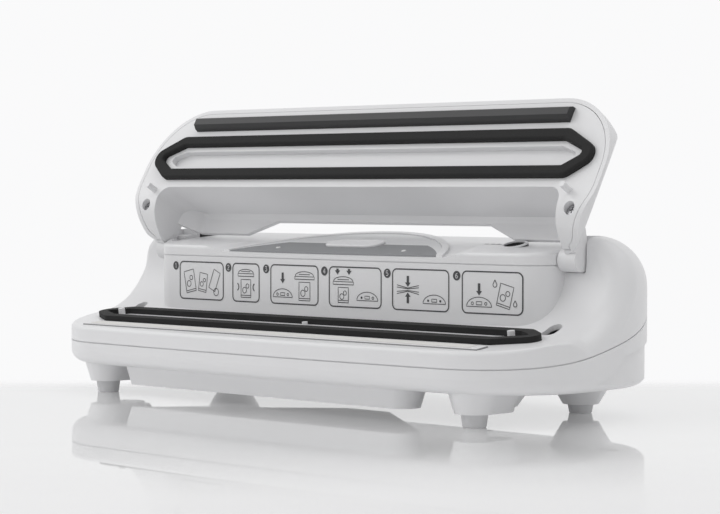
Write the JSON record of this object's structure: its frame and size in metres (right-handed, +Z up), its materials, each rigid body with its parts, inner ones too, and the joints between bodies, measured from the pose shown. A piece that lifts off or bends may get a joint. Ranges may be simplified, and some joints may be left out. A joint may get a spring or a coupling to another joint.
{
  "type": "vacuum sealer",
  "caption": "Household bag vacuum sealer: long rounded base with a gasketed vacuum channel and seal bar, control panel, accessory port and a hinged lid with gasket and pressure strip.",
  "frame": {"origin": "on the table under the middle of the base, in the plane of its feet", "axes": "+X along the base to the right as the user sees it, +Y to the rear, +Z up"},
  "size_m": [0.384, 0.15, 0.1701],
  "materials": {
    "case_plastic": "satin white",
    "panel_film": "matt grey film",
    "port_plastic": "satin white",
    "foam": "matt black foam",
    "strip_rubber": "matt dark grey",
    "bar_plastic": "satin white",
    "ribbon_metal": "bright ribbon",
    "tape": "woven pale tape",
    "foot_rubber": "matt light grey",
    "steel": "brushed",
    "inner_plastic": "matt",
    "hose": "soft pale",
    "coil_wrap": "yellow wrap",
    "board": "green",
    "board_fittings": "black",
    "lamp_lens": "clear"
  },
  "bodies": {
    "base": {"lower_case": "case_plastic", "upper_case": "case_plastic", "control_deck": "case_plastic", "panel_overlay": "panel_film", "port_bush": "port_plastic", "lower_gasket": "foam", "seal_bar": "bar_plastic", "heating_ribbon": "ribbon_metal", "seal_tape": "tape", "foot_front_left": "foot_rubber", "foot_front_right": "foot_rubber", "foot_rear_left": "foot_rubber", "foot_rear_right": "foot_rubber", "hinge_pin_left": "steel", "hinge_pin_right": "steel", "case_screws": "steel", "pump_motor": "steel", "transformer_core": "steel", "pump_head": "inner_plastic", "lid_switch_left": "inner_plastic", "lid_switch_right": "inner_plastic", "cord_gland": "inner_plastic", "vacuum_hose": "hose", "accessory_hose": "hose", "transformer_coil": "coil_wrap", "control_board": "board", "board_parts": "board_fittings", "lamp_left": "lamp_lens", "lamp_right": "lamp_lens"},
    "lid": {"lid_cover": "case_plastic", "lid_liner": "case_plastic", "upper_gasket": "foam", "pressure_strip": "strip_rubber", "switch_pegs": "case_plastic", "lid_screws": "steel"},
    "button": {"release_button": "case_plastic"},
    "plunger_left": {"switch_plunger_left": "inner_plastic"},
    "plunger_right": {"switch_plunger_right": "inner_plastic"},
    "crank": {"pump_crank": "steel"}
  },
  "joints": [
    {"name": "lid_hinge", "type": "hinge", "parent": "base", "child": "lid", "pos_m": [0, 0.011, 0.084], "axis": [1, 0, 0], "range_deg": [0, 128.4]},
    {"name": "button_press", "type": "slide", "parent": "base", "child": "button", "axis": [0, 0.1961, -0.9806], "range_m": [0, 0.0012], "stiffness_N_per_m": 600, "springref_m": -0.002},
    {"name": "plunger_left_press", "type": "slide", "parent": "base", "child": "plunger_left", "axis": [0, 0.1391, -0.9903], "range_m": [0, 0.0015], "stiffness_N_per_m": 300, "springref_m": -0.002},
    {"name": "plunger_right_press", "type": "slide", "parent": "base", "child": "plunger_right", "axis": [0, 0.1391, -0.9903], "range_m": [0, 0.0015], "stiffness_N_per_m": 300, "springref_m": -0.002},
    {"name": "crank_spin", "type": "hinge", "parent": "base", "child": "crank", "pos_m": [0.01, -0.031, 0.023], "axis": [1, 0, 0], "continuous": true}
  ]
}
